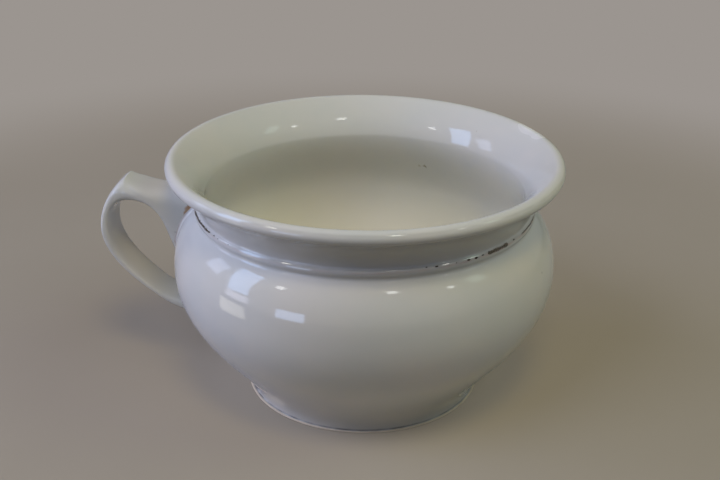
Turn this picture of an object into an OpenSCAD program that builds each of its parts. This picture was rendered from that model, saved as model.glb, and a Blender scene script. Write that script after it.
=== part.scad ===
// Chamber pot: one turned bowl with a moulded strap handle set on with clay slip.
// Millimetres, Z up, pot axis on Z, foot on the plane Z = 0, handle towards -X.

/* [Foot] */
// outer radius of the small step the pot stands on
foot_r = 69.8; // [66:0.2:72]
// width of the ring that touches the table
foot_ring = 7; // [5:0.5:10]
// height of the small step
foot_step = 2; // [1.4:0.2:3]
// how far the wall is set back above the step
foot_setback = 2.4; // [1.4:0.2:3]
// depth of the hollow under the base
foot_hollow = 4.5; // [3:0.5:6]

/* [Body] */
// largest outer radius of the belly
belly_r = 112.2; // [107:0.2:118]
// height of the largest radius
belly_z = 78.4; // [74:0.2:82]
// lean of the wall just above the foot, degrees from upright
foot_lean = 12.6; // [6:0.2:18]
// length over which the wall keeps that lean
foot_pull = 19.2; // [12:0.2:26]
// fullness of the belly below its widest line
belly_under = 32; // [26:0.5:38]
// fullness of the belly above its widest line
belly_over = 20; // [15:0.5:24]
// wall thickness of belly and floor side
wall = 5.5; // [4.5:0.1:6.5]
// thickness of the floor
floor_t = 6.5; // [5:0.5:9]
// radius of the flat part of the floor inside
floor_r = 50; // [42:1:54]

/* [Neck] */
// outer radius of the neck under the moulding
neck_r = 97.6; // [94:0.2:100]
// height of the middle of the moulded bead
bead_z = 115.3; // [113:0.1:118]
// height of the bead
bead_h = 6.8; // [5:0.2:8]
// how far the bead stands out of the neck
bead_out = 2.2; // [1.2:0.1:3]
// wall thickness at the throat
throat_t = 4.4; // [3.6:0.1:5.4]

/* [Rim] */
// outer radius of the rim
rim_r = 115; // [111:0.5:120]
// total height of the pot
height = 145; // [141:0.5:150]
// thickness of the rounded lip
lip_t = 5.8; // [4.6:0.1:6.6]

/* [Handle] */
// reach of the handle beyond the belly
reach = 46.8; // [38:0.2:54]
// height of the outermost point of the handle
reach_z = 93.5; // [88:0.5:98]
// width of the strap
strap_w = 27; // [22:0.5:31]
// thickness of the strap
strap_t = 6.3; // [5:0.1:8]
// height of the thumb spur
spur_z = 122.8; // [119:0.2:126]
// setback of the spur from the outermost point
spur_back = 16; // [12:0.5:20]
// height of the spur over the underside of the strap
spur_t = 11.8; // [9:0.2:14]
// height at which the tail of the upper root ends
tail_z = 73; // [69:0.5:77]
// height of the underside at the lower root
low_z = 38; // [35:0.5:42]
// depth of the strap where it meets the lower belly
low_t = 9; // [7:0.2:11]
// thickness of the slip between handle and body
slip_t = 0.8; // [0.5:0.1:1.2]
// how far the slip stands out around the handle
slip_out = 0.5; // [0.3:0.1:0.9]

/* [Gilding] */
// height of the gold line on the bead, over the middle of the bead
gilt_up = 1.2; // [0.6:0.1:1.6]
// width of the gold line
gilt_w = 1.3; // [0.8:0.1:1.6]
// thickness of the gold line
gilt_t = 0.2; // [0.12:0.02:0.3]
// where the remains beside the handle start, degrees
gilt_left_at = -162; // [-166:1:-156]
// length of the remains beside the handle, degrees
gilt_left_long = 20; // [8:1:30]
// where the short dash on the other side starts, degrees
gilt_dash_at = -42; // [-50:1:-38]
// length of the short dash, degrees
gilt_dash_long = 10; // [4:1:12]
// where the thin line at the side starts, degrees
gilt_side_at = -23; // [-25:1:-18]
// length of the thin line, degrees
gilt_side_long = 16; // [8:1:30]

/* [Hidden] */
$fn = 180;
steps = 22;
rings = 15;
sides = 28;
box_power = 2.7;

lip_r = lip_t / 2;
lip_c = [rim_r - lip_r, height - lip_r];
wall_foot = [foot_r - foot_setback, foot_step];
bead_low = [neck_r, bead_z - bead_h / 2];
bead_top = [neck_r, bead_z + bead_h / 2];
bead_arc_r = (bead_h * bead_h / 4 + bead_out * bead_out) / (2 * bead_out);
bead_arc_c = neck_r + bead_out - bead_arc_r;
bead_half = asin(bead_h / 2 / bead_arc_r);
throat_r = neck_r - throat_t;
throat_z = bead_z + bead_h * 0.3;
floor_z = foot_hollow + floor_t;
belly = [belly_r, belly_z];

// point on a curve from a to d that leaves towards b and arrives from c
function bend(a, b, c, d, t) =
    a * pow(1 - t, 3) + 3 * b * t * pow(1 - t, 2) + 3 * c * t * t * (1 - t) + d * pow(t, 3);

// direction of the same curve
function run(a, b, c, d, t) =
    3 * (b - a) * pow(1 - t, 2) + 6 * (c - b) * t * (1 - t) + 3 * (d - c) * t * t;

// unit vector pointing to the left of a direction
function left_of(v) = [-v[1], v[0]] / norm(v);

// points of a circular arc
function arc(c, r, a0, a1, n) =
    [for (i = [0 : n]) c + r * [cos(a0 + (a1 - a0) * i / n), sin(a0 + (a1 - a0) * i / n)]];

// outer lower wall: slight hollow over the foot, then the belly
low_b = wall_foot + foot_pull * [sin(foot_lean), cos(foot_lean)];
low_c = belly - [0, belly_under];
function low_wall(t) = bend(wall_foot, low_b, low_c, belly, t);
function low_run(t) = run(wall_foot, low_b, low_c, belly, t);

// outer shoulder up to the bead
sh_b = belly + [0, belly_over];
sh_c = bead_low + [(belly_r - neck_r) * 0.4, -4.2];
function shoulder(t) = bend(belly, sh_b, sh_c, bead_low, t);

// outside of the flared rim
under_end = lip_c + lip_r * [cos(-45), sin(-45)];
under_c = under_end - (under_end[0] - neck_r) * 0.47 * [1, 1];
function under_rim(t) = bend(bead_top, bead_top + [0.5, 5], under_c, under_end, t);

// inside of the flared rim, down to the throat
flare_top = lip_c + lip_r * [cos(125), sin(125)];
throat = [throat_r, throat_z];
function flare(t) =
    bend(flare_top, flare_top + 8 * [cos(215), sin(215)], throat + [2.2, 10.5], throat, t);

// inside of the shoulder and of the lower belly
belly_in = belly - [wall, 0];
function inner_shoulder(t) =
    bend(throat, throat - [0, 13], belly_in + [0, 14], belly_in, t);
function inner_wall(t) = low_wall(t) + wall * left_of(low_run(t));
hip = 0.2;
hip_p = inner_wall(hip);
hip_v = low_run(hip) / norm(low_run(hip));
function floor_bend(t) =
    bend(hip_p, hip_p - 0.45 * (hip_p[1] - floor_z) / hip_v[1] * hip_v,
         [(hip_p[0] + floor_r) / 2, floor_z], [floor_r, floor_z], t);

// outside line of the body from the step of the foot to the top of the bead
body_side = concat(
    [for (i = [0 : steps]) low_wall(i / steps)],
    [for (i = [1 : steps]) shoulder(i / steps)],
    arc([bead_arc_c, bead_z], bead_arc_r, -bead_half, bead_half, 10),
    [for (i = [1 : 12]) under_rim(i / 12)]);
foot_round = foot_step / 2;
foot_side = arc([foot_r - foot_round, foot_round], foot_round, -90, 90, 8);
inner_line = concat(
    arc(lip_c, lip_r, -38, 118, 14),
    [for (i = [0 : steps]) flare(i / steps)],
    [for (i = [1 : steps]) inner_shoulder(i / steps)],
    [for (i = [1 : steps - 1]) inner_wall(1 - (1 - hip) * i / steps)],
    [for (i = [0 : 10]) floor_bend(i / 10)]);
base_line = [
    [0, floor_z],
    [0, foot_hollow],
    [foot_r - foot_ring - 1.5 * foot_hollow, foot_hollow],
    [foot_r - foot_ring, 0]];

// outer radius of the body at a height
side_table = [for (p = body_side) [p[1], p[0]]];
function side_r(z) = lookup(z, side_table);

// centre plane of the handle: back line and inside line, four curves each
out_u = belly_r + reach;
spur = [out_u - spur_back, spur_z];
under_spur = [spur[0] - 3.5, spur_z - spur_t];
out_p = [out_u, reach_z];
in_p = [out_u - strap_t, reach_z - 1.5];
low_end = [side_r(low_z) - 5.5, low_z];
low_in = [side_r(low_z + low_t) - 3.4, low_z + low_t];
knee = [out_u - 30.3, low_z + 12.5];
knee_in = knee + [3.2, 7.5];
root = [neck_r - 3.6, spur_z - 4.8];
tail = [side_r(tail_z) - 2.3, tail_z];
function back_line(s) =
    s < 1 ? bend(root, root + [18, -0.8], spur - [11, 8], spur, s) :
    s < 2 ? bend(spur, spur + [7.2, -4.3], out_p + [0, 13.5], out_p, s - 1) :
    s < 3 ? bend(out_p, out_p - [0, 14.5], knee + [18, 12.5], knee, s - 2) :
    bend(knee, knee - [8, 5.55], low_end + [22.7, 1.3], low_end, s - 3);
function inside_line(s) =
    s < 1 ? bend(tail, tail + [12, 18], under_spur - [25, 0], under_spur, s) :
    s < 2 ? bend(under_spur, under_spur + [10.5, 0], in_p + [0, 12], in_p, s - 1) :
    s < 3 ? bend(in_p, in_p - [0, 11], knee_in + [12, 10.4], knee_in, s - 2) :
    bend(knee_in, knee_in - [5.8, 5], low_in + [18.5, 0], low_in, s - 3);
function strap_half(s) =
    strap_w / 2 * (1 - 0.02 * s - 0.035 * pow(max(0, s - 2), 2) + 0.04 * max(0, 1 - s)
    + 0.16 * pow(max(0, s - 3), 2));

// one closed cross-section of the strap, flattened oval
function bulge(v) = sign(v) * pow(abs(v), 2 / box_power);
function strap_ring(s, grow) =
    let (b = back_line(s), c = inside_line(s), m = (b + c) / 2, h = (b - c) / 2,
         k = 1 + grow / norm(h), w = strap_half(s) + grow)
    [for (j = [0 : sides - 1]) let (a = 360 * j / sides, q = m + h * k * bulge(cos(a)))
        [-q[0], w * bulge(sin(a)), q[1]]];

function strap_points(grow) = [for (i = [0 : 4 * rings]) each strap_ring(i / rings, grow)];
side_faces = [for (i = [0 : 4 * rings - 1]) for (j = [0 : sides - 1])
    let (a = i * sides + j, b = i * sides + (j + 1) % sides)
    each [[a, b, a + sides], [b, b + sides, a + sides]]];
first_cap = [for (j = [1 : sides - 2]) [0, j + 1, j]];
last_ring = 4 * rings * sides;
last_cap = [for (j = [1 : sides - 2]) [last_ring, last_ring + j, last_ring + j + 1]];

// the strap before its ends are cut to the body
module strap(grow) {
    polyhedron(strap_points(grow), concat(side_faces, first_cap, last_cap));
}

// solid of revolution inside the outer line of the body, pushed out by a layer
module body_core(layer) {
    rotate_extrude()
        polygon(concat([[0, 1]], [[wall_foot[0] + layer, 1]],
            [for (p = body_side) p + [layer, 0]], [[0, under_end[1]]]));
}

// layer of slip on the body between two heights, inside the grown strap
module slip(z0, z1) {
    intersection() {
        strap(slip_out);
        rotate_extrude()
            polygon(concat(
                [for (p = body_side) if (p[1] > z0 && p[1] < z1) p],
                [for (i = [len(body_side) - 1 : -1 : 0])
                    if (body_side[i][1] > z0 && body_side[i][1] < z1)
                        body_side[i] + [slip_t, 0]]));
    }
}

// worn remains of the gold line on the bead
module gilt(at, long) {
    mid = asin(gilt_up / bead_arc_r);
    half = asin(gilt_w / 2 / bead_arc_r);
    rotate([0, 0, at])
        rotate_extrude(angle = long)
            polygon(concat(
                arc([bead_arc_c, bead_z], bead_arc_r, mid - half, mid + half, 6),
                arc([bead_arc_c, bead_z], bead_arc_r + gilt_t, mid + half, mid - half, 6)));
}

module bowl() {
    color([0.93, 0.93, 0.9])
        rotate_extrude()
            polygon(concat(foot_side, body_side, inner_line, base_line));
}

module handle() {
    color([0.92, 0.93, 0.91])
        difference() {
            strap(0);
            body_core(slip_t);
        }
}

module upper_slip() {
    color([0.72, 0.62, 0.5])
        slip(tail_z - 6, spur_z + 4);
}

module lower_slip() {
    color([0.78, 0.74, 0.66])
        slip(low_z - 6, low_z + low_t + 8);
}

module gilt_left() {
    color([0.45, 0.33, 0.14])
        gilt(gilt_left_at, gilt_left_long);
}

module gilt_dash() {
    color([0.4, 0.28, 0.12])
        gilt(gilt_dash_at, gilt_dash_long);
}

module gilt_side() {
    color([0.5, 0.36, 0.18])
        gilt(gilt_side_at, gilt_side_long);
}

bowl();
handle();
upper_slip();
lower_slip();
gilt_left();
gilt_dash();
gilt_side();
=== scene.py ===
"""Chamber pot of white glazed earthenware with a strap handle and the worn remains of a gold line.

The sizes repeat those of the part, in millimetres; a mesh is written in metres. The pot stands on
z = 0 with its axis on Z and its handle towards -X.
"""

import logging
import math
from dataclasses import dataclass, field
from enum import Enum

import bpy
import numpy as np
from bpy.types import Material, NodeTree, Object
from mathutils import Matrix, Quaternion, Vector


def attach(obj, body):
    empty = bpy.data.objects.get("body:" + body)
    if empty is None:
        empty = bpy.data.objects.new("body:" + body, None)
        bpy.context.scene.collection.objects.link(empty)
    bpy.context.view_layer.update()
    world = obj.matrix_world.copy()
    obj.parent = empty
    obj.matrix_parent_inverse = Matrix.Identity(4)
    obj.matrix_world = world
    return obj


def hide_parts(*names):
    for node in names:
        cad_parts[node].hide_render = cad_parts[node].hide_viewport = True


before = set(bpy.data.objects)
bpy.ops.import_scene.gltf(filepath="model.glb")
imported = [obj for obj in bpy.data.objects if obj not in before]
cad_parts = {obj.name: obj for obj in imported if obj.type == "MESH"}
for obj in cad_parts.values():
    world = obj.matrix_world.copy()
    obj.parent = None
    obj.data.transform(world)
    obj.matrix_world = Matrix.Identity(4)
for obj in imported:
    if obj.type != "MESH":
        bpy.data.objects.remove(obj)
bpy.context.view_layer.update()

Array = np.ndarray
Pair = tuple[float, float]

LOG = logging.getLogger("chamber_pot")
MM = 0.001
# Even steps along a smoothed line, in millimetres, and the places along one curve.
EVEN = 0.1
FINE = np.linspace(0.0, 1.0, 160)


class Slot(Enum):
    """Material slots of the record."""

    BODY = "glazed_body"
    SLIP = "slip"
    GOLD = "gilding"


class Role(Enum):
    """What a lamp does for the glaze."""

    FILL = "lights it without a reflection"
    PANE = "is only mirrored in it"


class Node(Enum):
    """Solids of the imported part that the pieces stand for."""

    BOWL = "bowl"
    HANDLE = "handle"
    UPPER_SLIP = "upper_slip"
    LOWER_SLIP = "lower_slip"
    GILT_LEFT = "gilt_left"
    GILT_DASH = "gilt_dash"
    GILT_SIDE = "gilt_side"


def linear(code: str) -> tuple[float, float, float, float]:
    """Turns an sRGB hex colour into linear light.

    Args:
        code: Colour as "#RRGGBB".

    Returns:
        Red, green, blue and alpha for a shader socket.
    """
    part = np.array([int(code[i:i + 2], 16) for i in (1, 3, 5)]) / 255.0
    light = np.where(part <= 0.04045, part / 12.92, ((part + 0.055) / 1.055) ** 2.4)
    return (float(light[0]), float(light[1]), float(light[2]), 1.0)


def heading(degrees: float) -> Array:
    """Unit vector at an angle in degrees."""
    return np.array([math.cos(math.radians(degrees)), math.sin(math.radians(degrees))])


def bend(a: Array, b: Array, c: Array, d: Array) -> Array:
    """Cubic curve a(1-t)^3 + 3b t(1-t)^2 + 3c t^2(1-t) + d t^3, with t going evenly from 0 to 1."""
    t = FINE[:, None]
    return a * (1 - t) ** 3 + 3 * b * t * (1 - t) ** 2 + 3 * c * t * t * (1 - t) + d * t ** 3


def chain(knots: list, leave: tuple, arrive: tuple) -> Array:
    """Cubic curves from knot to knot: each heads off by its leave and comes in by its arrive."""
    curves = [bend(a, a + np.array(u), d + np.array(v), d)[:-1]
              for a, d, u, v in zip(knots[:-1], knots[1:], leave, arrive)]
    return np.vstack([*curves, knots[-1]])


def arc(centre: object, radius: float, start: float, stop: float) -> Array:
    """Circular arc about a centre, with the angle going evenly from start to stop in degrees."""
    turn = np.radians(start + (stop - start) * FINE)[:, None]
    return np.asarray(centre, float) + radius * np.hstack([np.cos(turn), np.sin(turn)])


def along(line: Array) -> Array:
    """Length of a line from its first point to each of its points."""
    return np.concatenate([[0.0], np.cumsum(np.linalg.norm(np.diff(line, axis=0), axis=1))])


def unit(rows: Array) -> Array:
    """Rows scaled to length 1."""
    return rows / np.linalg.norm(rows, axis=1)[:, None]


def at(line: Array, place: Array, where: Array) -> Array:
    """Points of a line at the places asked for, straight between neighbours."""
    return np.column_stack([np.interp(where, place, column) for column in line.T])


def blur(padded: Array, half: int, spread: float) -> Array:
    """Bell-weighted running mean down each column, which uses up the padding.

    Args:
        padded: Points in rows, with half a window of padding at each end.
        half: Half the window, in rows.
        spread: Width of the bell, in rows.

    Returns:
        The points without their padding.
    """
    bell = np.exp(-0.5 * (np.arange(-half, half + 1) / spread) ** 2)
    bell /= bell.sum()
    return np.column_stack([np.convolve(column, bell, mode="valid") for column in padded.T])


def soften(line: Array, reach: float) -> Array:
    """Rounds the corners of a line as a coat of glaze does.

    The line is divided into even steps and each point becomes the bell-weighted mean of its
    neighbours. The ends stay, because the line is carried on beyond them turned about the end point.

    Args:
        line: Points in rows.
        reach: Width of the bell.

    Returns:
        Evenly spaced points in rows.
    """
    length = along(line)
    even = at(line, length, np.linspace(0.0, length[-1], int(length[-1] / EVEN) + 1))
    half = int(3 * reach / EVEN) + 1
    before = 2 * even[:1] - even[half:0:-1]
    after = 2 * even[-1:] - even[-2:-half - 2:-1]
    return blur(np.vstack([before, even, after]), half, reach / EVEN)


def stations(line: Array, count: int, tight: float) -> Array:
    """Picks points on an even line, closer together where it bends.

    The density is 1 plus a share that grows with the bend up to the radius called tight, and it is
    averaged over a window.

    Args:
        line: Evenly spaced points in rows.
        count: How many points to keep.
        tight: Radius of bend at which the points are closest.

    Returns:
        The kept points in rows.
    """
    crowd, half = 5.0, 15
    length = along(line)
    way = np.gradient(line, length, axis=0)
    turn = np.linalg.norm(np.gradient(way, length, axis=0), axis=1)
    density = np.pad(1.0 + crowd * np.minimum(turn * tight, 1.0), half, mode="edge")
    density = np.convolve(density, np.ones(2 * half + 1) / (2 * half + 1), mode="valid")
    total = np.concatenate([[0.0], np.cumsum(0.5 * (density[1:] + density[:-1]))])
    return at(line, total, np.linspace(0.0, total[-1], count))


def ripple(where: Array, seed: int, waves: int) -> Array:
    """Smooth repeatable unevenness between about -1 and 1.

    It is a sum of sines whose lengths and phases come from a seeded generator.

    Args:
        where: Places, as angles in radians.
        seed: Seed of the generator.
        waves: Number of sines.

    Returns:
        One value for each place.
    """
    rng = np.random.default_rng(seed)
    pace = rng.integers(2, 14 + 6 * waves, waves)[:, None]
    phase = rng.uniform(0.0, 2 * math.pi, waves)[:, None]
    return np.sin(pace * where.ravel() + phase).sum(axis=0).reshape(where.shape) / math.sqrt(waves)


def patchy(where: Array, seed: int, waves: int, mean: float, swing: float,
           low: float = 0.0, high: float = 1.0) -> Array:
    """Uneven share: the mean plus a swing of the ripple, kept between low and high."""
    return np.clip(mean + swing * ripple(where, seed, waves), low, high)


def rise(value: Array, low: float, high: float) -> Array:
    """Smooth step from 0 at low to 1 at high."""
    t = np.clip((value - low) / (high - low), 0.0, 1.0)
    return t * t * (3 - 2 * t)


@dataclass(frozen=True)
class Bell:
    """Share that is 1 at a middle and falls off to both sides."""

    middle: float
    width: float

    def of(self, value: Array) -> Array:
        """Share at some values: exp(-((value - middle) / width)^2)."""
        return np.exp(-((value - self.middle) / self.width) ** 2)


@dataclass(frozen=True)
class Stretch:
    """Share that is 1 between two places and fades to 0 beyond them."""

    start: float
    full: float
    fade: float
    end: float

    def of(self, value: Array) -> Array:
        """Share at some values: one smooth step up times one down."""
        return rise(value, self.start, self.full) * rise(-value, -self.end, -self.fade)


def grid_faces(rows: int, columns: int, ring: bool = False) -> Array:
    """Four-sided faces of a grid of points whose columns close on themselves.

    Args:
        rows: Number of rows.
        columns: Number of points in a row.
        ring: Whether the last row also joins the first.

    Returns:
        Four point numbers in each row.
    """
    i = np.arange(rows if ring else rows - 1)[:, None]
    j = np.arange(columns)[None, :]
    a = i * columns + j
    b = i * columns + (j + 1) % columns
    c = (i + 1) % rows * columns + (j + 1) % columns
    d = (i + 1) % rows * columns + j
    return np.stack([a, b, c, d], axis=-1).reshape(-1, 4)


def fan(ring: Array, pole: int) -> Array:
    """Triangles between a ring of point numbers and one pole."""
    return np.column_stack([ring, np.roll(ring, -1), np.full(len(ring), pole)])


def capped(grid: Array, first: object = None, last: object = None) -> tuple[Array, list]:
    """Closed skin over a grid whose first and last rows run to a pole each.

    Args:
        grid: Points by row and column.
        first: Pole of the first row, or nothing for the row's middle.
        last: Pole of the last row, likewise.

    Returns:
        The points in rows, and the faces.
    """
    rows, columns = grid.shape[:2]
    first = grid[0].mean(axis=0) if first is None else first
    last = grid[-1].mean(axis=0) if last is None else last
    points = np.vstack([grid.reshape(-1, 3), first, last])
    ring, end = np.arange(columns), rows * columns
    caps = np.vstack([fan(ring[::-1], end), fan(end - columns + ring, end + 1)])
    return points, grid_faces(rows, columns).tolist() + caps.tolist()


def outward(points: Array, faces: list) -> list:
    """Turns all faces round if they enclose a negative volume.

    Args:
        points: Points in rows.
        faces: Faces that close a solid.

    Returns:
        Faces that point outwards.
    """
    three = np.array([f[:3] for f in faces])
    rest = np.array([[f[0], f[2], f[3]] for f in faces if len(f) == 4])
    corner = points[np.vstack([three, rest]) if len(rest) else three]
    volume = np.einsum("ij,ij->", corner[:, 0], np.cross(corner[:, 1], corner[:, 2]))
    return faces if volume > 0 else [f[::-1] for f in faces]


def add(tree: NodeTree, kind: str, inputs: dict | None = None,
        **settings: object) -> bpy.types.Node:
    """Adds a shader node with its settings, its values and its links.

    Args:
        tree: Node tree to add to.
        kind: Type of the node, without the prefix that all shader nodes share.
        inputs: By name or number, a value, a socket to link, or a node whose first live output is
            linked.
        **settings: Properties of the node.

    Returns:
        The new node.
    """
    node = tree.nodes.new("ShaderNode" + kind)
    for name, value in settings.items():
        setattr(node, name, value)
    for key, value in (inputs or {}).items():
        if isinstance(value, bpy.types.Node):
            value = next(socket for socket in value.outputs if socket.enabled)
        if isinstance(value, bpy.types.NodeSocket):
            tree.links.new(value, node.inputs[key])
        else:
            node.inputs[key].default_value = value
    return node


def fresh(name: str) -> tuple[Material, NodeTree]:
    """New material with an empty node tree, and that tree."""
    material = bpy.data.materials.new(name)
    material.use_nodes = True
    material.node_tree.nodes.clear()
    return material, material.node_tree


@dataclass(frozen=True)
class Mark:
    """Small speck fired into the glaze.

    Attributes:
        place: Where it lies, in millimetres.
        radius: Half its width.
        colour: Its colour.
    """

    place: tuple[float, float, float]
    radius: float
    colour: str


@dataclass(frozen=True)
class ClearGlaze:
    """White earthenware dipped in clear glaze and fired glossy.

    It gives the eye a wet mirror over a chalk-white body: sharp reflections that waver a little where
    the glaze ran over the turning rings, a tint a shade cooler where it lies thick, pinholes here and
    there, and dull buff clay where the foot was wiped clean.
    """

    name: str = "white_earthenware_clear_glaze"
    body: str = "#CBC8BD"
    thick: str = "#C5C5BC"
    clay: str = "#D2C2A6"
    # Painted light: a lighter, warmer tint laid over the inside towards its floor, where light falls
    # into the pot.
    painted_inner_light: str = "#DBD6C1"
    ghost: str = "#BF9E8C"
    crease_dark: str = "#4A4036"
    # Darker colour laid in the crease over the foot ledge.
    worn: str = "#DEDCD6"
    pinhole: str = "#9A8E7C"
    gloss: float = 0.07
    dull: float = 0.75
    ior: float = 1.52
    cloud_mm: float = 45.0
    ring_mm: float = 9.0
    peel_mm: float = 5.0
    seep_mm: float = 2.6
    seep: float = 1.1
    spot_mm: float = 16.0
    bump_mm: float = 0.05
    marks: tuple[Mark, ...] = (
        Mark((-103.1, -13.6, 109.1), 2.7, "#A5805A"),
        Mark((-104.4, -13.8, 107.2), 2.0, "#AC8862"),
        Mark((-101.6, -13.3, 110.7), 2.4, "#9F7B57"),
        Mark((-105.3, -13.9, 105.6), 1.2, "#B0936F"),
        Mark((-109.3, -13.9, 98.6), 0.9, "#A79684"),
        Mark((-111.2, -13.8, 94.2), 1.2, "#5E5547"),
        Mark((104.0, -37.1, 92.5), 0.9, "#5E4F3D"),
        Mark((28.6, 95.8, 102.4), 1.5, "#958F7A"),
        Mark((29.5, 95.9, 101.7), 1.0, "#8E8873"),
        Mark((25.2, 96.9, 102.1), 1.7, "#B0AC97"),
        Mark((61.7, 77.2, 134.7), 0.6, "#A79C8E"),
        Mark((-71.0, -74.0, 62.0), 0.5, "#9C8F7E"),
        Mark((38.0, 101.0, 60.0), 0.5, "#97897A"),
    )

    def material(self) -> Material:
        """Builds the finish on object coordinates and on the bowl's own attributes.

        Returns:
            The finished material.
        """
        material, tree = fresh(self.name)
        place = add(tree, "TexCoord").outputs["Object"]
        mask = {name: add(tree, "Attribute", attribute_name=name).outputs["Fac"]
                for name in ("painted_inner_light", "ghost", "worn", "bare", "crease_dark", "lustre")}
        cloud = add(tree, "TexNoise", {
            "Vector": place, "Scale": 1 / (self.cloud_mm * MM), "Detail": 3.0, "Roughness": 0.55})
        cloud = add(tree, "MapRange", {"Value": cloud, "From Min": 0.35, "From Max": 0.65})
        colour = add(tree, "Mix", {"Factor": cloud, "A": linear(self.body), "B": linear(self.thick)},
                     data_type="RGBA")
        spots = add(tree, "TexVoronoi", {"Vector": place, "Scale": 1 / (self.spot_mm * MM)})
        spots = add(tree, "MapRange", {
            "Value": spots, "From Min": 0.012, "From Max": 0.02, "To Min": 0.35, "To Max": 0.0})
        # Among these layers is painted light: the lighter tint of the inside.
        for share, code in ((spots, self.pinhole), (mask["painted_inner_light"], self.painted_inner_light),
                            (mask["ghost"], self.ghost), (mask["worn"], self.worn)):
            colour = self.over(tree, colour, share, code)
        uneven = add(tree, "TexNoise", {
            "Vector": place, "Scale": 1 / (self.seep_mm * MM), "Detail": 2.0}, normalize=False)
        seeped = add(tree, "VectorMath", {
            0: uneven.outputs["Color"], 1: (self.seep * MM,) * 3, 2: place}, operation="MULTIPLY_ADD")
        for mark in self.marks:
            gap = add(tree, "VectorMath", {0: seeped, 1: tuple(v * MM for v in mark.place)},
                      operation="DISTANCE")
            spot = add(tree, "MapRange", {
                "Value": gap, "From Min": mark.radius * 0.4 * MM, "From Max": mark.radius * MM,
                "To Min": 0.85, "To Max": 0.0})
            colour = self.over(tree, colour, spot, mark.colour)
        colour = self.over(tree, colour, mask["bare"], self.clay)
        colour = self.over(tree, colour, mask["crease_dark"], self.crease_dark)
        rough = add(tree, "MapRange", {
            "Value": cloud, "To Min": self.gloss * 0.8, "To Max": self.gloss * 1.3})
        matt = add(tree, "Math", {0: mask["bare"], 1: mask["worn"]}, operation="MAXIMUM")
        rough = add(tree, "Mix", {"Factor": matt, "A": rough, "B": self.dull})
        stretch = add(tree, "Mapping", {"Vector": place, "Scale": (0.12, 0.12, 1.0)})
        turning = add(tree, "TexNoise", {
            "Vector": stretch, "Scale": 1 / (self.ring_mm * MM), "Detail": 1.0})
        peel = add(tree, "TexNoise", {
            "Vector": place, "Scale": 1 / (self.peel_mm * MM), "Detail": 2.0})
        swell = add(tree, "Math", {0: turning, 1: 3.0, 2: peel}, operation="MULTIPLY_ADD")
        bump = add(tree, "Bump", {"Height": swell, "Strength": 0.25, "Distance": self.bump_mm * MM})
        shader = add(tree, "BsdfPrincipled", {
            "Base Color": colour, "Metallic": mask["lustre"], "Roughness": rough, "IOR": self.ior,
            "Normal": bump})
        add(tree, "OutputMaterial", {"Surface": shader})
        return material

    @staticmethod
    def over(tree: NodeTree, under: bpy.types.Node, mask: object, code: str) -> bpy.types.Node:
        """Lays a colour over another where a mask is 1, and gives back the mixed colour."""
        return add(tree, "Mix", {"Factor": mask, "A": under, "B": linear(code)}, data_type="RGBA")


@dataclass(frozen=True)
class StainedSlip:
    """Joint of clay slip under the glaze, with brown dirt drawn into its open places.

    It gives the eye the same white gloss as the body, broken by a thin rusty line.
    """

    name: str = "joint_slip_stained"
    body: str = "#CBC9C1"
    stain: str = "#4A3222"
    rust: str = "#8A5A34"
    gloss: float = 0.12
    dull: float = 0.6
    ior: float = 1.52
    blotch_mm: float = 3.0

    def material(self) -> Material:
        """Builds the finish on object coordinates and on the joint's own attribute.

        Returns:
            The finished material.
        """
        material, tree = fresh(self.name)
        place = add(tree, "TexCoord").outputs["Object"]
        dirt = add(tree, "Attribute", attribute_name="dirt").outputs["Fac"]
        blotch = add(tree, "TexNoise", {
            "Vector": place, "Scale": 1 / (self.blotch_mm * MM), "Detail": 3.0})
        rust = add(tree, "Mix", {"Factor": blotch, "A": linear(self.stain), "B": linear(self.rust)},
                   data_type="RGBA")
        edge = add(tree, "MapRange", {
            "Value": blotch, "From Min": 0.3, "From Max": 0.6, "To Min": 0.6, "To Max": 1.0})
        mask = add(tree, "Math", {0: dirt, 1: edge}, operation="MULTIPLY")
        colour = add(tree, "Mix", {"Factor": mask, "A": linear(self.body), "B": rust}, data_type="RGBA")
        rough = add(tree, "MapRange", {"Value": mask, "To Min": self.gloss, "To Max": self.dull})
        shader = add(tree, "BsdfPrincipled", {
            "Base Color": colour, "Roughness": rough, "IOR": self.ior})
        add(tree, "OutputMaterial", {"Surface": shader})
        return material


@dataclass(frozen=True)
class WornGold:
    """Fired gold line, rubbed thin and tarnished.

    It gives the eye a dark brown film with a dull metal glint in its thicker places.
    """

    name: str = "fired_gold_tarnished"
    film: str = "#21180E"
    metal: str = "#5A4324"
    bare: str = "#A39A86"
    shine: float = 0.5
    rough: float = 0.42
    grain_mm: float = 1.2

    def material(self) -> Material:
        """Builds the finish on object coordinates and on the line's own attribute.

        Returns:
            The finished material.
        """
        material, tree = fresh(self.name)
        place = add(tree, "TexCoord").outputs["Object"]
        rubbed = add(tree, "Attribute", attribute_name="rubbed").outputs["Fac"]
        grain = add(tree, "TexNoise", {
            "Vector": place, "Scale": 1 / (self.grain_mm * MM), "Detail": 3.0})
        share = add(tree, "MapRange", {"Value": grain, "From Min": 0.48, "From Max": 0.68})
        colour = add(tree, "Mix", {"Factor": share, "A": linear(self.film), "B": linear(self.metal)},
                     data_type="RGBA")
        colour = add(tree, "Mix", {"Factor": rubbed, "A": colour, "B": linear(self.bare)},
                     data_type="RGBA")
        metallic = add(tree, "MapRange", {"Value": rubbed, "To Min": self.shine, "To Max": 0.0})
        rough = add(tree, "MapRange", {
            "Value": grain, "To Min": self.rough + 0.15, "To Max": self.rough - 0.1})
        shader = add(tree, "BsdfPrincipled", {
            "Base Color": colour, "Metallic": metallic, "Roughness": rough})
        add(tree, "OutputMaterial", {"Surface": shader})
        return material


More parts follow.
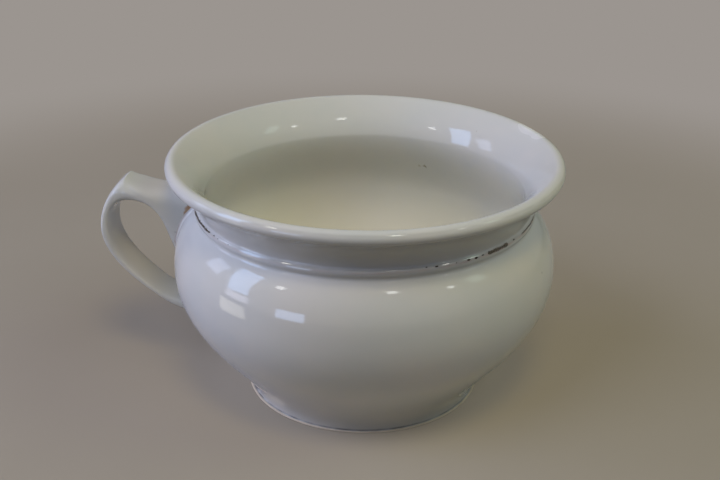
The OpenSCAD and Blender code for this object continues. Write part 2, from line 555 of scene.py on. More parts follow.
@dataclass
class Piece:
    """One finished piece of the pot.

    Attributes:
        name: Name of the object.
        points: Points in rows, in millimetres.
        faces: Faces that close the piece.
        slot: Slot of the record that it takes its finish from.
        material: Its finish.
        node: Solid that it stands for, if any.
        attributes: Value for each point, by name.
    """

    name: str
    points: Array
    faces: list
    slot: Slot
    material: Material
    node: Node | None = None
    attributes: dict[str, Array] = field(default_factory=dict)

    def place(self) -> Object:
        """Writes the mesh, dresses it and hands it to the frame.

        Returns:
            The new object.
        """
        mesh = bpy.data.meshes.new(self.name)
        mesh.from_pydata((self.points * MM).tolist(), [], outward(self.points, self.faces))
        mesh.shade_smooth()
        for name, value in self.attributes.items():
            layer = mesh.attributes.new(name, "FLOAT", "POINT")
            layer.data.foreach_set("value", value.astype(np.float32))
        mesh.materials.append(self.material)
        thing = bpy.data.objects.new(self.name, mesh)
        bpy.context.scene.collection.objects.link(thing)
        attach(thing, "root")
        if self.node:
            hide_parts(self.node.value)
        LOG.info("%s: %d points, %d faces", self.name, len(self.points), len(self.faces))
        return thing


@dataclass
class Bowl:
    """Turned bowl: foot ring, belly, bead, neck and rolled rim in one piece of clay."""

    foot_r: float = 70.6
    foot_ring: float = 7.8
    foot_step: float = 0.9
    foot_setback: float = 1.8
    foot_hollow: float = 4.5
    belly_r: float = 112.6
    belly_z: float = 78.4
    foot_lean: float = 12.6
    foot_pull: float = 19.2
    belly_under: float = 36.0
    belly_over: float = 20.0
    wall: float = 5.5
    floor_t: float = 6.5
    floor_r: float = 50.0
    neck_r: float = 97.6
    bead_z: float = 114.9
    bead_h: float = 6.0
    bead_out: float = 1.9
    bead_fillet: float = 1.7
    throat_t: float = 4.4
    throat_z: float = 123.3
    inner_rise: float = 2.5
    rim_r: float = 115.0
    height: float = 145.0
    lip_t: float = 8.0
    lip_join: float = -72.0
    glaze_round: float = 0.45
    lustre: float = 0.3
    shoulder_share: float = 0.4
    shoulder_drop: float = 4.2
    flare_share: float = 0.6
    flare_leave: Pair = (0.5, 7.0)
    lip_over: float = 7.0
    lip_stop: float = 118.0
    inner_start: float = 125.0
    inner_pull: float = 8.0
    throat_arrive: Pair = (1.6, 8.0)
    throat_drop: float = 13.0
    inner_over: float = 14.0
    hip_share: float = 0.2
    heel_share: float = 0.45
    crease_bell: float = 2.2
    worn_down: Pair = (7.0, 2.5)
    worn_in: Pair = (11.0, 4.5)
    worn_turn: Stretch = Stretch(18.0, 29.0, 33.0, 40.0)
    worn_depth: float = 0.35
    ghost_lean: Bell = Bell(19.0, 10.0)
    ghost_turn: Bell = Bell(-38.0, 22.0)
    lustre_lip: Bell = Bell(38.0, 11.0)
    lustre_bead: Bell = Bell(38.0, 18.0)
    lustre_turn: Stretch = Stretch(-115.0, -111.5, -30.0, 0.0)
    painted_inner_light_z: Pair = (0.35, 0.7)
    crease_dark_in: Bell = Bell(0.0, 0.7)
    crease_dark_up: Bell = Bell(0.25, 0.55)
    tight: float = 6.0
    rings: int = 340
    turns: int = 264

    def __post_init__(self) -> None:
        """Works out the points that the curves share."""
        lip = self.lip_t / 2
        self.lip_r = lip
        self.lip_c = np.array([self.rim_r - lip, self.height - lip])
        self.bead_arc_r = (self.bead_h ** 2 / 4 + self.bead_out ** 2) / (2 * self.bead_out)
        self.bead_arc_c = self.neck_r + self.bead_out - self.bead_arc_r
        self.bead_half = math.degrees(math.asin(self.bead_h / 2 / self.bead_arc_r))
        self.belly = np.array([self.belly_r, self.belly_z])
        self.side = self.glazed(self.outside())

    def glazed(self, line: Array) -> Array:
        """Rounds a section as the glaze does, and more in the crease under the bead.

        Two softened copies are mixed: the broad one has its full share at the crease on the outer
        side, and its share falls off in height as a bell.

        Args:
            line: Radius and height in each row.

        Returns:
            Evenly spaced points in rows.
        """
        fine = soften(line, self.glaze_round)
        broad = soften(line, self.bead_fillet)
        crease = Bell(self.bead_z - self.bead_h / 2, self.crease_bell)
        share = crease.of(fine[:, 1]) * (np.arange(len(fine)) < np.argmax(fine[:, 1]))
        return fine + share[:, None] * (broad - fine)

    def low_wall(self) -> Array:
        """Outer wall from the step of the foot to the widest place, slightly hollow over the foot."""
        foot = np.array([self.foot_r - self.foot_setback, self.foot_step])
        pull = self.foot_pull * heading(90 - self.foot_lean)
        return bend(foot, foot + pull, self.belly - [0, self.belly_under], self.belly)

    def outside(self) -> Array:
        """Outer line from the step of the foot to the rim: lower wall, shoulder, bead and flare.

        Returns:
            Radius and height in each row.
        """
        low = np.array([self.neck_r, self.bead_z - self.bead_h / 2])
        top = np.array([self.neck_r, self.bead_z + self.bead_h / 2])
        end = self.lip_c + self.lip_r * heading(self.lip_join)
        swing = (end[0] - self.neck_r) * self.flare_share * heading(self.lip_join + 90)
        spread = (self.belly_r - self.neck_r) * self.shoulder_share
        shoulder = bend(self.belly, self.belly + [0, self.belly_over],
                        low + [spread, -self.shoulder_drop], low)
        bead = arc((self.bead_arc_c, self.bead_z), self.bead_arc_r, -self.bead_half, self.bead_half)
        flare = bend(top, top + self.flare_leave, end - swing, end)
        return np.vstack([self.low_wall(), shoulder[1:], bead[1:], flare[1:]])

    def inside(self) -> Array:
        """Inner line from the lip over the throat and the wall down to the middle of the floor.

        The inner wall is the outer one moved inwards by the wall's thickness.

        Returns:
            Radius and height in each row.
        """
        top = self.lip_c + self.lip_r * heading(self.inner_start)
        away = self.inner_pull * heading(self.inner_start + 90)
        throat = np.array([self.neck_r - self.throat_t, self.throat_z])
        flare = bend(top, top + away, throat + self.throat_arrive, throat)
        inner = self.belly + [-self.wall, self.inner_rise]
        shoulder = bend(throat, throat - [0, self.throat_drop], inner + [0, self.inner_over], inner)
        outer = self.low_wall()
        way = unit(np.gradient(outer, axis=0))
        hip = int(self.hip_share * len(outer))
        wall = (outer + self.wall * np.column_stack([-way[:, 1], way[:, 0]]))[:hip - 1:-1]
        heel, floor_z = wall[-1], self.foot_hollow + self.floor_t
        drop = self.heel_share * (heel[1] - floor_z) / way[hip, 1] * way[hip]
        between = np.array([(heel[0] + self.floor_r) / 2, floor_z])
        turn = bend(heel, heel - drop, between, np.array([self.floor_r, floor_z]))
        return np.vstack([flare, shoulder[1:], wall[1:], turn[1:], [[0.0, floor_z]]])

    def profile(self) -> Array:
        """Whole section from the middle of the underside round to the middle of the floor.

        Returns:
            Radius and height in each row, softened by the glaze.
        """
        ring, hollow, half = self.foot_r - self.foot_ring, self.foot_hollow, self.foot_step / 2
        base = [[0.0, hollow], [ring - 1.5 * hollow, hollow], [ring, 0.0]]
        foot = arc((self.foot_r - half, half), half, -90, 90)
        lip = arc(self.lip_c, self.lip_r, self.lip_join + self.lip_over, self.lip_stop)
        line = np.vstack([base, foot, self.outside(), lip, self.inside()])
        return stations(self.glazed(line), self.rings, self.tight)

    def side_r(self, z: Array | float) -> Array:
        """Outer radius of the body at a height."""
        return np.interp(z, self.side[:, 1], self.side[:, 0])

    def side_normal(self, points: Array) -> Array:
        """Direction straight out of the body's outside next to some points.

        The outer line's own normal at the point's height, turned to the point's angle.

        Args:
            points: Points in rows, near the outside.

        Returns:
            One unit vector in each row.
        """
        way = unit(np.gradient(self.side, axis=0))
        out = at(np.column_stack([way[:, 1], -way[:, 0]]), self.side[:, 1], points[:, 2])
        turn = np.arctan2(points[:, 1], points[:, 0])
        return unit(np.column_stack([out[:, 0] * np.cos(turn), out[:, 0] * np.sin(turn), out[:, 1]]))

    def on_bead(self, turn: Array, lean: Array, lift: Array | float) -> Array:
        """Points on the bead.

        The bead is a torus: the radius is its middle circle plus the arc's radius and the lift times
        the cosine of the lean, and the height adds the sine.

        Args:
            turn: Angle round the pot, in radians.
            lean: Angle up the bead's own arc, in radians.
            lift: Height over the bead's surface.

        Returns:
            Points with x, y and z last.
        """
        reach = self.bead_arc_r + lift
        radius = self.bead_arc_c + reach * np.cos(lean)
        return np.stack([radius * np.cos(turn), radius * np.sin(turn),
                         self.bead_z + reach * np.sin(lean)], axis=-1)

    def wear(self, radius: Array, height: Array, angle: Array) -> dict[str, Array]:
        """Shares from 0 to 1 of what lies on the glaze or is missing from it.

        Each is a product of bells and smooth steps along the section and round the pot: the worn place
        on the back of the rim, the ghost of the gold line, the thin lustre that it left, painted light
        that makes the inside lighter towards its floor, the bare clay of the foot and a darker band in
        the crease over it.

        Args:
            radius: Radius of each point of the section, in a column.
            height: Its height, in a column.
            angle: Angles round the pot, in radians.

        Returns:
            For each name, the share of every point and of the two poles.
        """
        turn = np.degrees(angle)
        outer = np.arange(len(radius))[:, None] < np.argmax(height)
        worn = rise(height, *(self.height - np.array(self.worn_down)))
        worn = worn * rise(radius, *(self.rim_r - np.array(self.worn_in)))
        worn = worn * self.worn_turn.of(turn) * patchy(angle, 4, 7, 0.8, 0.35)
        lean = np.degrees(np.arctan2(height - self.bead_z, radius - self.bead_arc_c))
        past = np.abs(height - self.bead_z) - self.bead_h / 2
        ghost = self.ghost_lean.of(lean) * (past < 0) * (radius > self.neck_r - 0.5)
        left = (0.16 + 0.34 * self.ghost_turn.of(turn)) * (1 + 0.6 * ripple(angle, 9, 7))
        tip = np.degrees(np.arctan2(height - self.lip_c[1], radius - self.lip_c[0]))
        lip = 0.7 * self.lustre_lip.of(tip) * (height > self.height - self.lip_t)
        bead = self.lustre_bead.of(lean) * (past < 0.5)
        film = 0.12 + 0.88 * self.lustre_turn.of(turn) * patchy(angle, 14, 9, 0.85, 0.25)
        # Painted light: the inside is painted lighter towards its floor, fading out above.
        painted_inner_light = 1 - rise(height, *(self.height * np.array(self.painted_inner_light_z)))
        crease_r = self.foot_r - self.foot_setback
        ledge = (height < self.foot_step + 0.3) & (radius > crease_r + 0.6)
        ring = (height < self.foot_step / 2) & (radius > self.foot_r - self.foot_ring - 1)
        # A darker band in the crease over the foot ledge, patchy round the pot.
        crease_dark = self.crease_dark_in.of(radius - crease_r) * self.crease_dark_up.of(height - self.foot_step)
        shares = {
            "worn": worn,
            "ghost": ghost * np.clip(left, 0.0, 0.8),
            "bare": ledge | ring,
            "painted_inner_light": ~outer * painted_inner_light,
            "crease_dark": outer * crease_dark * patchy(angle, 12, 5, 0.72, 0.25, 0.3, 0.95),
            "lustre": outer * (lip + bead) * self.lustre * film,
        }
        every = np.ones((len(radius), len(angle)))
        return {name: np.append((share * every).ravel(), [0.0, 0.0]) for name, share in shares.items()}

    def build(self, finish: Material) -> Piece:
        """Turns the section round the axis.

        A point is (r cos a, r sin a, z) for each point (r, z) of the section and each angle a. The
        worn place on the rim is pressed in a little.

        Args:
            finish: Glaze.

        Returns:
            The bowl.
        """
        line = self.profile()
        angle = np.linspace(-math.pi, math.pi, self.turns, endpoint=False)
        radius, height = line[1:-1, :1], line[1:-1, 1:]
        shares = self.wear(radius, height, angle)
        round_pot = np.broadcast_arrays(radius * np.cos(angle), radius * np.sin(angle), height)
        grid = np.stack(round_pot, axis=-1)
        grid[..., 2] -= self.worn_depth * shares["worn"][:-2].reshape(grid.shape[:2])
        points, faces = capped(grid, [0.0, 0.0, line[0, 1]], [0.0, 0.0, line[-1, 1]])
        return Piece("bowl_glazed", points, faces, Slot.BODY, finish, Node.BOWL, shares)


@dataclass
class Handle:
    """Strap handle with a thumb spur, cut at both ends to the outside of the bowl."""

    bowl: Bowl
    reach: float = 46.0
    reach_z: float = 93.5
    strap_w: float = 27.0
    strap_t: float = 6.3
    spur_z: float = 124.2
    spur_back: float = 16.0
    spur_t: float = 13.2
    spur_taper: float = 0.26
    spur_bell: Bell = Bell(0.98, 0.13)
    under_back: float = 3.5
    inner_drop: float = 1.5
    root_sink: float = 3.6
    root_drop: float = 5.2
    tail_sink: float = 2.3
    tail_z: float = 73.0
    low_z: float = 38.0
    low_t: float = 9.0
    low_sink: float = 5.5
    low_sink_in: float = 3.4
    knee_back: float = 30.3
    knee_up: float = 13.7
    knee_t: Pair = (3.2, 7.5)
    back_leave: tuple = ((18.0, -0.8), (7.2, -4.3), (0.0, -14.5), (-8.0, -5.55))
    back_arrive: tuple = ((-10.0, -7.0), (0.0, 13.5), (18.0, 12.5), (22.7, 1.3))
    in_leave: tuple = ((12.0, 18.0), (10.5, 0.0), (0.0, -11.0), (-5.8, -5.0))
    in_arrive: tuple = ((-25.0, 0.0), (0.0, 12.0), (12.0, 10.4), (18.5, 0.0))
    blur_half: int = 12
    blur_rows: float = 2.2
    slim: Pair = (0.02, 0.035)
    flared: Pair = (0.04, 0.16)
    box_power: float = 3.6
    flatness: float = 0.3
    end_sink: float = 1.2
    slip_foot: float = 1.8
    slip_steps: int = 9
    stain_y: Pair = (4.0, 9.0)
    stain_z: Pair = (78.0, 84.0)
    stain_row: Bell = Bell(1.2, 1.6)
    rows: int = 261
    sides: int = 84

    def lines(self) -> tuple[Array, Array]:
        """Back line and inside line of the strap in its middle plane.

        Each is four cubic curves in a row: root, spur, outer bend, lower arm.

        Returns:
            Distance from the axis and height in each row, for both lines at the same steps.
        """
        side = self.bowl.side_r
        out = self.bowl.belly_r + self.reach
        low_in = self.low_z + self.low_t
        root = np.array([self.bowl.neck_r - self.root_sink, self.spur_z - self.root_drop])
        spur = np.array([out - self.spur_back, self.spur_z])
        outer = np.array([out, self.reach_z])
        knee = np.array([out - self.knee_back, self.low_z + self.knee_up])
        end = np.array([side(self.low_z) - self.low_sink, self.low_z])
        tail = np.array([side(self.tail_z) - self.tail_sink, self.tail_z])
        under = spur - [self.under_back, self.spur_t]
        inner = outer - [self.strap_t, self.inner_drop]
        end_in = np.array([side(low_in) - self.low_sink_in, low_in])
        back = chain([root, spur, outer, knee, end], self.back_leave, self.back_arrive)
        inside = chain([tail, under, inner, knee + self.knee_t, end_in], self.in_leave, self.in_arrive)
        padding = ((self.blur_half, self.blur_half), (0, 0))
        padded = np.pad(np.hstack([back, inside]), padding, mode="edge")
        both = blur(padded, self.blur_half, self.blur_rows)
        return both[:, :2], both[:, 2:]

    def strap(self) -> Array:
        """Whole strap before its ends are cut.

        Each section is a flattened oval: half the gap between the two lines times the rounded
        cosine, and half the width times the rounded sine, where rounding raises to the power of 2
        over the box power. The strap gets slimmer along its way, faster past the bend, and flares
        at both roots. At the spur the back of the section is narrowed by a bell, so that it ends
        in a tip.

        Returns:
            Points by step along the strap and by angle round it.
        """
        back, inside = self.lines()
        step = np.linspace(0.0, 4.0, len(back))
        slim = self.slim[0] * step + self.slim[1] * np.maximum(0, step - 2) ** 2
        flare = self.flared[0] * np.maximum(0, 1 - step) + self.flared[1] * np.maximum(0, step - 3) ** 2
        wide = (self.strap_w / 2 * (1 - slim + flare))[:, None]
        angle = np.linspace(0.0, 2 * math.pi, 4001)
        turn = np.column_stack([np.cos(angle), np.sin(angle)])
        oval = np.sign(turn) * np.abs(turn) ** (2 / self.box_power)
        length = along(oval * [self.flatness, 1.0])
        deep, across = at(oval, length, np.linspace(0.0, length[-1], self.sides, endpoint=False)).T
        middle, half = (back + inside) / 2, (back - inside) / 2
        flat = middle[:, None, :] + half[:, None, :] * deep[None, :, None]
        tip = self.spur_taper * self.spur_bell.of(step)[:, None]
        width = wide * across * (1 - tip * np.maximum(deep, 0.0))
        return np.stack([-flat[..., 0], width, flat[..., 1]], axis=-1)

    def cut(self) -> Array:
        """Strap between its two ends on the body.

        Along each of its lengthwise lines the last step inside the body near the root and the first
        one near the foot are found, and the steps between are stretched to end there.

        Returns:
            Points by row and by angle.
        """
        whole = self.strap()
        last = len(whole) - 1
        gap = np.hypot(whole[..., 0], whole[..., 1]) - self.bowl.side_r(whole[..., 2])
        quarter = last // 4
        inner = np.argmax(gap[:2 * quarter][::-1] < 0, axis=0)
        first = 2 * quarter - 1 - inner
        second = 3 * quarter + np.argmax(gap[3 * quarter:] < 0, axis=0)
        column = np.arange(self.sides)
        start = first + gap[first, column] / (gap[first, column] - gap[first + 1, column])
        stop = second - 1 + gap[second - 1, column] / (gap[second - 1, column] - gap[second, column])
        row = np.linspace(0.0, last, self.rows)[:, None]
        near, far = 0.9 * quarter, last - 0.9 * quarter
        place = np.where(row < near, start + (near - start) * row / near,
                         np.where(row > far, stop - (stop - far) * (last - row) / (last - far), row))
        low = np.minimum(place.astype(int), last - 1)
        share = (place - low)[..., None]
        return whole[low, column] * (1 - share) + whole[low + 1, column] * share

    def build(self, finish: Material) -> Piece:
        """Closes the strap with ends that are sunk into the wall.

        Args:
            finish: Glaze.

        Returns:
            The handle.
        """
        grid = self.cut()
        first = grid[:1] - self.end_sink * self.bowl.side_normal(grid[0])
        last = grid[-1:] - self.end_sink * self.bowl.side_normal(grid[-1])
        points, faces = capped(np.concatenate([first, grid, last]))
        return Piece("handle_glazed", points, faces, Slot.BODY, finish, Node.HANDLE)

    def joint(self, name: str, node: Node, upper: bool, finish: Material) -> Piece:
        """Fillet of slip round one end of the handle.

        A hollow quarter round is carried along the closed line in which handle and body meet: one
        leg lies on the handle, the other on the body, and a third point is sunk under the line.

        Args:
            name: Name of the piece.
            node: Solid that it stands for.
            upper: Whether this is the upper end.
            finish: Finish of the slip.

        Returns:
            The fillet.
        """
        grid = self.cut()
        edge, up = (grid[0], grid[3]) if upper else (grid[-1], grid[-4])
        climb = unit(up - edge)
        follow = np.roll(edge, -1, axis=0) - np.roll(edge, 1, axis=0)
        normal = self.bowl.side_normal(edge)
        spread = unit(np.cross(follow, normal))
        spread *= np.sign(np.einsum("ij,ij->i", spread, edge - edge.mean(axis=0)))[:, None]
        turn = np.linspace(0.0, 2 * math.pi, self.sides, endpoint=False)
        size = self.slip_foot * (1 + 0.18 * ripple(turn, 21 if upper else 22, 4))
        swing = np.linspace(0.0, math.pi / 2, self.slip_steps)[:, None, None]
        hollow = edge + size[:, None] * (climb * (1 - np.sin(swing)) + spread * (1 - np.cos(swing)))
        sunk = (edge - 0.5 * normal - 0.3 * climb)[None]
        points = np.concatenate([hollow + 0.04 * normal, sunk]).reshape(-1, 3)
        rows = self.slip_steps + 1
        faces = grid_faces(rows, self.sides, ring=True).tolist()
        near = rise(-edge[:, 1], *self.stain_y) * rise(edge[:, 2], *self.stain_z) * upper
        row = self.stain_row.of(np.arange(rows))[:, None]
        dirt = row * near * patchy(turn, 5, 6, 0.6, 0.35)
        return Piece(name, points, faces, Slot.SLIP, finish, node, {"dirt": dirt.ravel()})


@dataclass
class GoldLine:
    """What is left of a gold line on the upper half of the bead.

    Each row of the grains holds the angle in degrees, the size, how much longer than wide it is,
    and how far it lies above the line.
    """

    bowl: Bowl
    up: float = 1.7
    width: float = 1.4
    stroke: float = 1.6
    lift: float = 0.12
    sink: float = -0.35
    per_degree: int = 16
    columns: int = 9
    grains: tuple[tuple[float, ...], ...] = (
        (-64.4, 0.34, 1.6, 0.7), (-61.1, 0.5, 1.8, 0.3), (-54.3, 0.3, 1.2, 0.1),
        (-49.8, 0.55, 1.9, 0.0), (-46.9, 0.62, 1.7, -0.2), (-44.1, 0.35, 2.2, 0.1),
        (-28.2, 0.4, 2.4, 0.2), (-139.4, 0.35, 2.0, 0.2), (-136.8, 0.28, 1.6, 0.0),
        (-131.0, 0.25, 1.4, 0.1),
    )

    def strip(self, name: str, node: Node, start: float, span: float, share: float, rub: float,
              seed: int, finish: Material) -> Piece:
        """One stretch of the line with ragged edges.

        A flat dome is carried along the bead. Its half width and its middle wander with the angle,
        and it runs out to nothing at both ends. It is rubbed through in slanting strokes: a sine of
        the way along plus the way across, a little stronger in the middle of the width.

        Args:
            name: Name of the piece.
            node: Solid that it stands for.
            start: Where it starts, in degrees.
            span: How far it runs, in degrees.
            share: Part of the line's width that is left.
            rub: How far it is rubbed through.
            seed: Seed of its ragged edges.
            finish: Gold.

        Returns:
            The strip.
        """
        count = int(span * self.per_degree) + 1
        turn = np.radians(start + span * np.linspace(0.0, 1.0, count))
        ends = np.sqrt(np.maximum(1 - np.linspace(-1.0, 1.0, count) ** 8, 0.002))
        rough = patchy(turn * 18, seed, 6, 0.72, 0.42, 0.12, 1.25)
        half = (self.width / 2 * share * ends * rough / self.bowl.bead_arc_r)[:, None]
        middle = self.up + 0.12 * ripple(turn * 9, seed + 1, 4)[:, None]
        middle = middle / self.bowl.bead_arc_r
        turn = turn[:, None]
        across = np.linspace(-1.0, 1.0, self.columns)
        top = self.bowl.on_bead(turn, middle + half * across, self.lift * (1 - across ** 4) - 0.02)
        below = self.bowl.on_bead(turn, middle + half * across[:0:-2], self.sink)
        grid = np.concatenate([top, below], axis=1)
        points, faces = capped(grid)
        strokes = np.sin(2 * math.pi * turn * self.bowl.neck_r / self.stroke - 2.2 * across)
        rubbed = np.zeros(grid.shape[:2])
        rubbed[:, :self.columns] = rub * np.clip(1.1 * strokes, 0.0, 1.0) * (1 - 0.4 * across ** 2)
        values = {"rubbed": np.append(rubbed.ravel(), [0.0, 0.0])}
        return Piece(name, points, faces, Slot.GOLD, finish, node, values)

    def specks(self, name: str, finish: Material) -> Piece:
        """Grains of the line that are left between its longer stretches.

        Each is a low dome on the bead: its edge is an uneven circle and its height falls from the
        middle with the square of the distance.

        Args:
            name: Name of the piece.
            finish: Gold.

        Returns:
            All grains as one piece.
        """
        where, size, long, shift = np.array(self.grains).T[:, :, None, None]
        where = np.radians(where)
        angle = np.linspace(0.0, 2 * math.pi, 20, endpoint=False)
        radius = np.linspace(0.25, 1.0, 4)[:, None]
        spread = radius * (1 + 0.16 * ripple(angle + where * 7, 31, 3)) * size
        turn = where + spread * np.cos(angle) * long / self.bowl.neck_r
        lean = (self.up + shift + spread * np.sin(angle)) / self.bowl.bead_arc_r
        top = self.bowl.on_bead(turn, lean, self.lift * (1 - radius ** 2) - 0.03)
        under = self.bowl.on_bead(turn[:, -1:], lean[:, -1:], self.sink)
        grids = np.concatenate([top, under], axis=1)
        poles = self.bowl.on_bead(where[:, 0], (self.up + shift[:, 0]) / self.bowl.bead_arc_r,
                                  np.array([self.lift - 0.03, self.sink]))
        each = [capped(grid, *pole) for grid, pole in zip(grids, poles)]
        step = len(each[0][0])
        points = np.vstack([points for points, _ in each])
        faces = [[v + i * step for v in f] for i, (_, part) in enumerate(each) for f in part]
        return Piece(name, points, faces, Slot.GOLD, finish)


@dataclass
class Floor:
    """Round pale cloth floor under the pot, which the eye sees run into the wall behind it."""

    radius_m: float = 4.0
    colour: str = "#B3AA9D"
    shade: str = "#A79F91"
    lift: str = "#7A705F"
    wall: str = "#9B9590"
    fold_mm: float = 160.0
    near_m: float = 0.28
    far_m: float = 0.68
    lifted: float = 0.35
    lit_m: float = 0.15
    dark_m: float = 0.36
    dark: float = 0.08
    rings: int = 24
    sides: int = 96

    def build(self) -> Object:
        """Makes the floor.

        A point is (r cos a, r sin a, 0) on a polar grid whose rings widen with the square.

        Returns:
            The floor.
        """
        ring = self.radius_m * np.linspace(0.05, 1.0, self.rings)[:, None] ** 2
        angle = np.linspace(0.0, 2 * math.pi, self.sides, endpoint=False)
        flat = np.broadcast_arrays(ring * np.cos(angle), ring * np.sin(angle), 0.0)
        points = np.vstack([np.stack(flat, axis=-1).reshape(-1, 3), [0.0, 0.0, 0.0]])
        faces = grid_faces(self.rings, self.sides)[:, ::-1].tolist()
        faces += fan(np.arange(self.sides), self.rings * self.sides).tolist()
        mesh = bpy.data.meshes.new("floor")
        mesh.from_pydata(points.tolist(), [], faces)
        mesh.materials.append(self.cloth())
        floor = bpy.data.objects.new("floor", mesh)
        bpy.context.scene.collection.objects.link(floor)
        return floor

    def cloth(self) -> Material:
        """Matt undyed cotton sheet: it gives the eye a soft even ground with faint clouds.

        For the eye alone its shadows are lifted a little by painted light, an emission near the pot,
        and far from the pot it turns into the colour of the wall. In bounced light and in the glaze the
        cloth ahead of the pot is darkened: painted shade, so that the neck mirrors a dark ground.

        Returns:
            The finished material.
        """
        material, tree = fresh("undyed_cotton_sheet")
        place = add(tree, "TexCoord").outputs["Object"]
        seen = add(tree, "LightPath").outputs["Is Camera Ray"]
        cloud = add(tree, "TexNoise", {
            "Vector": place, "Scale": 1 / (self.fold_mm * MM), "Detail": 4.0})
        colour = add(tree, "Mix", {"Factor": cloud, "A": linear(self.colour), "B": linear(self.shade)},
                     data_type="RGBA")
        # Painted shade: the cloth ahead of the pot is darkened for bounced light and for the glaze.
        ahead = add(tree, "SeparateXYZ", {"Vector": place}).outputs["Y"]
        dark = add(tree, "MapRange", {
            "Value": ahead, "From Min": -self.dark_m, "From Max": -self.lit_m, "To Min": self.dark,
            "To Max": 1.0})
        dark = add(tree, "Math", {0: dark, 1: seen}, operation="MAXIMUM")
        colour = add(tree, "VectorMath", {0: colour, "Scale": dark}, operation="SCALE")
        shader = add(tree, "BsdfPrincipled", {
            "Base Color": colour, "Roughness": 0.95, "Specular IOR Level": 0.1})
        # Painted light: near the pot the camera sees part emission in the lift colour, which lightens
        # the cast shadow.
        away = add(tree, "VectorMath", {0: place}, operation="LENGTH")
        fade = add(tree, "MapRange", {
            "Value": away, "From Min": self.near_m, "From Max": self.far_m},
            interpolation_type="SMOOTHSTEP")
        plain = add(tree, "Mix", {"Factor": fade, "A": linear(self.lift), "B": linear(self.wall)},
                    data_type="RGBA")
        plain = add(tree, "Emission", {"Color": plain, "Strength": 1.0})
        share = add(tree, "MapRange", {"Value": fade, "To Min": self.lifted, "To Max": 1.0})
        share = add(tree, "Math", {0: share, 1: seen}, operation="MULTIPLY")
        mix = add(tree, "MixShader", {0: share, 1: shader, 2: plain})
        add(tree, "OutputMaterial", {"Surface": mix})
        return material


@dataclass
class Softbox:
    """Rectangular soft lamp that faces the pot."""

    name: str
    turn: float
    climb: float
    away: float
    wide: float
    tall: float
    watts: float
    colour: str = "#FFFFFF"
    role: Role = Role.PANE
    roll: float = 0.0
    aim_m: float = 0.08

    def build(self) -> Object:
        """Hangs the lamp at its angle and distance and aims it at the middle of the pot.

        Returns:
            The lamp.
        """
        lamp = bpy.data.lights.new(self.name, "AREA")
        lamp.shape = "RECTANGLE"
        lamp.size, lamp.size_y = self.wide, self.tall
        lamp.energy = self.watts
        lamp.color = linear(self.colour)[:3]
        turn, climb = math.radians(self.turn), math.radians(self.climb)
        level = math.cos(climb)
        way = Vector((math.cos(turn) * level, math.sin(turn) * level, math.sin(climb)))
        thing = bpy.data.objects.new(self.name, lamp)
        thing.location = way * self.away + Vector((0.0, 0.0, self.aim_m))
        aim = (-way).to_track_quat("-Z", "Y") @ Quaternion((0.0, 0.0, 1.0), math.radians(self.roll))
        thing.rotation_euler = aim.to_euler()
        thing.visible_glossy = self.role is Role.PANE
        thing.visible_diffuse = self.role is Role.FILL
        thing.visible_camera = False
        bpy.context.scene.collection.objects.link(thing)
        return thing


@dataclass
class Viewpoint:
    """Camera at the photograph's angle, with the frame taken as 720 by 480."""

    focal_px: float = 1200.0
    frame_px: float = 720.0
    sensor_mm: float = 36.0
    away_m: float = 0.6517
    up_m: float = 0.3848
    pan: float = -0.0039
    tilt: float = 0.4249
    roll: float = 0.0092
    handle_turn: float = 6.5

    def build(self) -> Object:
        """Places the camera: it looks along +Y and down, rolled a little, then turned with the pot.

        Returns:
            The camera.
        """
        data = bpy.data.cameras.new("camera")
        data.sensor_fit = "HORIZONTAL"
        data.sensor_width = self.sensor_mm
        data.lens = self.focal_px / self.frame_px * self.sensor_mm
        level = math.cos(self.tilt)
        ahead = Vector((math.sin(self.pan) * level, math.cos(self.pan) * level, -math.sin(self.tilt)))
        right = Vector((math.cos(self.pan), -math.sin(self.pan), 0.0))
        up = right.cross(ahead)
        across = right * math.cos(self.roll) + up * math.sin(self.roll)
        upright = up * math.cos(self.roll) - right * math.sin(self.roll)
        pose = Matrix((across, upright, -ahead)).transposed().to_4x4()
        pose.translation = Vector((0.0, -self.away_m, self.up_m))
        camera = bpy.data.objects.new("camera", data)
        camera.matrix_world = Matrix.Rotation(math.radians(self.handle_turn), 4, "Z") @ pose
        bpy.context.scene.collection.objects.link(camera)
        bpy.context.scene.camera = camera
        return camera


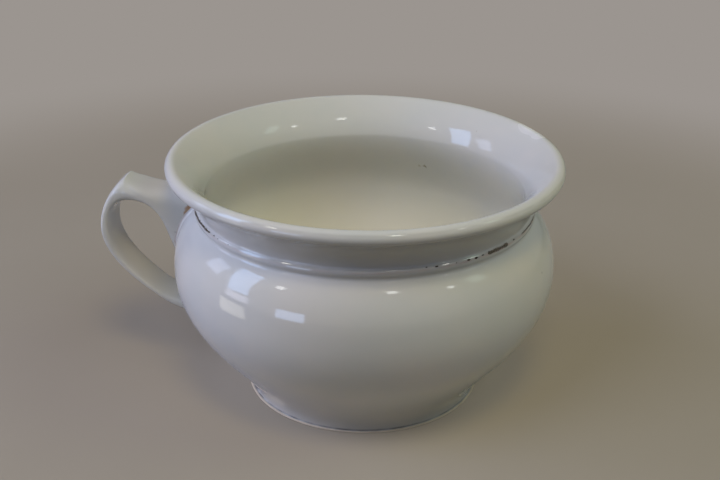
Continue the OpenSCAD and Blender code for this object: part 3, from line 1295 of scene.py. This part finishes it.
@dataclass
class Studio:
    """Floor, lamps, surrounding light and camera.

    The eye and the glaze see a pale wall all round, which gives no light of its own.
    """

    sky: str = "#F4F1EA"
    strength: float = 0.02
    backdrop: str = "#9B9590"
    lamps: tuple[Softbox, ...] = (
        Softbox("pane_near", -162.0, 26.0, 1.6, 0.42, 0.95, 6.6, "#AACBFF", roll=12.0),
        Softbox("pane_sill", -157.5, 4.5, 1.6, 0.44, 0.21, 1.0, "#E4E6FF", roll=4.0),
        Softbox("pane_far", 176.5, 22.0, 1.6, 0.34, 0.5, 1.4, "#C6D8FF"),
        Softbox("pane_lower", -151.0, -7.0, 0.35, 0.1, 0.065, 0.05, "#FFF9EA"),
        Softbox("pane_front", -123.5, 3.0, 1.6, 0.46, 0.33, 2.5, "#B9D2FF"),
        Softbox("lamp_left", -140.0, 39.5, 1.8, 0.14, 0.16, 0.49),
        Softbox("lamp_right", -61.5, 53.0, 1.8, 0.16, 0.14, 0.49),
        Softbox("lamp_far", -22.5, 41.3, 1.8, 0.11, 0.11, 0.3),
        Softbox("glow_far", -3.0, 38.0, 1.8, 0.26, 0.36, 0.45, "#E2FFF0"),
        Softbox("sky_left", 180.0, 15.0, 2.2, 1.2, 1.2, 35.0, "#CBD1FF", Role.FILL),
        Softbox("sky_front", -135.0, 45.0, 2.2, 1.2, 1.2, 23.0, "#D1DDFF", Role.FILL),
        Softbox("ceiling", -75.0, 60.0, 2.2, 0.6, 0.6, 11.9, "#FFE79E", Role.FILL),
        Softbox("wall_front", -45.0, 45.0, 2.2, 1.2, 1.2, 7.6, "#C3D0FF", Role.FILL),
        Softbox("wall_right", 0.0, 45.0, 2.2, 1.2, 1.2, 12.3, "#EFFFEA", Role.FILL),
    )

    def build(self) -> None:
        """Sets the scene round the pot."""
        scene = bpy.context.scene
        scene.view_settings.view_transform = "Standard"
        world = bpy.data.worlds.new("studio")
        world.use_nodes = True
        tree = world.node_tree
        tree.nodes.clear()
        sky = add(tree, "Background", {"Color": linear(self.sky), "Strength": self.strength})
        wall = add(tree, "Background", {"Color": linear(self.backdrop), "Strength": 1.0})
        path = add(tree, "LightPath").outputs
        seen = add(tree, "Math", {0: path["Is Camera Ray"], 1: path["Is Glossy Ray"]},
                   operation="MAXIMUM")
        mix = add(tree, "MixShader", {0: seen, 1: sky, 2: wall})
        add(tree, "OutputWorld", {"Surface": mix})
        scene.world = world
        Floor().build()
        for lamp in self.lamps:
            lamp.build()
        Viewpoint().build()


def main() -> None:
    """Builds the pot piece by piece, then the studio."""
    logging.basicConfig(level=logging.INFO, format="%(name)s: %(message)s")
    glaze = ClearGlaze().material()
    slip = StainedSlip().material()
    gold = WornGold().material()
    bowl = Bowl()
    handle = Handle(bowl)
    line = GoldLine(bowl)
    pieces = [
        bowl.build(glaze),
        handle.build(glaze),
        handle.joint("upper_joint", Node.UPPER_SLIP, True, slip),
        handle.joint("lower_joint", Node.LOWER_SLIP, False, slip),
        line.strip("gold_left", Node.GILT_LEFT, -162.0, 20.0, 1.0, 0.3, 41, gold),
        line.strip("gold_dash", Node.GILT_DASH, -42.0, 10.0, 1.8, 0.75, 43, gold),
        line.strip("gold_side", Node.GILT_SIDE, -23.0, 16.0, 0.55, 0.3, 45, gold),
        line.specks("gold_grains", gold),
    ]
    for piece in pieces:
        piece.place()
    Studio().build()


if __name__ == "__main__":
    main()
